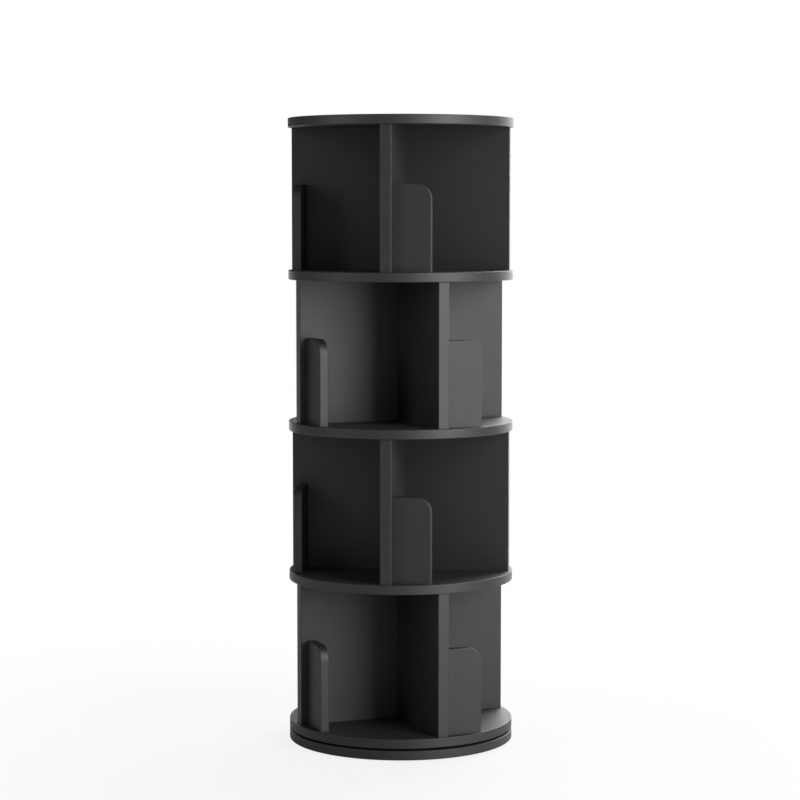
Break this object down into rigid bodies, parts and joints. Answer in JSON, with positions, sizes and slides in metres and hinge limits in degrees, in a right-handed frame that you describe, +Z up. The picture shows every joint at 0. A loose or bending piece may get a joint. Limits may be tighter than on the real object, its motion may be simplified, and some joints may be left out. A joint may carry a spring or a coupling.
{
  "type": "revolving bookcase",
  "caption": "Tall round revolving bookcase: stacked circular shelves with crossed dividers and low book stops, turning as one tower on a ball bearing in the base.",
  "frame": {"origin": "on the floor under the turning axis, at the bottom of the foot pads", "axes": "+Z up along the turning axis; -Y is the front; the second and fourth tier's dividers lie along X and Y"},
  "size_m": [0.46, 0.46, 1.277],
  "materials": {
    "laminate": "black satin melamine on particle board",
    "edge_band": "black satin ABS edge band",
    "bearing_ring": "plain turned",
    "steel": "zinc plated",
    "cage": "natural nylon",
    "beech": "plain beech",
    "foot_pad": "matt",
    "cap": "black satin"
  },
  "bodies": {
    "base": {"base_board": "laminate", "base_edge_band": "edge_band", "foot_pads": "foot_pad", "swivel_lower_ring": "bearing_ring", "lower_ring_screws": "steel"},
    "ball_cage": {"ball_cage": "cage", "bearing_balls": "steel"},
    "tower": {"swivel_upper_ring": "bearing_ring", "upper_ring_screws": "steel", "bottom_shelf": "laminate", "lower_shelf": "laminate", "middle_shelf": "laminate", "upper_shelf": "laminate", "top_board": "laminate", "bottom_shelf_screws": "steel", "lower_shelf_screws": "steel", "middle_shelf_screws": "steel", "upper_shelf_screws": "steel", "top_board_screws": "steel", "tier_1_wide_divider": "laminate", "tier_1_back_divider": "laminate", "tier_1_front_divider": "laminate", "tier_2_wide_divider": "laminate", "tier_2_back_divider": "laminate", "tier_2_front_divider": "laminate", "tier_3_wide_divider": "laminate", "tier_3_back_divider": "laminate", "tier_3_front_divider": "laminate", "tier_4_wide_divider": "laminate", "tier_4_back_divider": "laminate", "tier_4_front_divider": "laminate", "tier_1_dowels": "beech", "tier_2_dowels": "beech", "tier_3_dowels": "beech", "tier_4_dowels": "beech", "tier_1_stop_right": "laminate", "tier_1_stop_back": "laminate", "tier_1_stop_left": "laminate", "tier_1_stop_front": "laminate", "tier_2_stop_right": "laminate", "tier_2_stop_back": "laminate", "tier_2_stop_left": "laminate", "tier_2_stop_front": "laminate", "tier_3_stop_right": "laminate", "tier_3_stop_back": "laminate", "tier_3_stop_left": "laminate", "tier_3_stop_front": "laminate", "tier_4_stop_right": "laminate", "tier_4_stop_back": "laminate", "tier_4_stop_left": "laminate", "tier_4_stop_front": "laminate", "shelf_edge_bands": "edge_band", "divider_edge_bands": "edge_band", "stop_edge_bands": "edge_band", "screw_caps": "cap"}
  },
  "joints": [
    {"name": "tower_turn", "type": "hinge", "parent": "base", "child": "tower", "pos_m": [0, 0, 0.024], "axis": [0, 0, 1], "continuous": true},
    {"name": "cage_roll", "type": "hinge", "parent": "base", "child": "ball_cage", "pos_m": [0, 0, 0.024], "axis": [0, 0, 1], "continuous": true}
  ],
  "couplings": [
    {"joint": "cage_roll", "follows": "tower_turn", "ratio": 0.5}
  ]
}
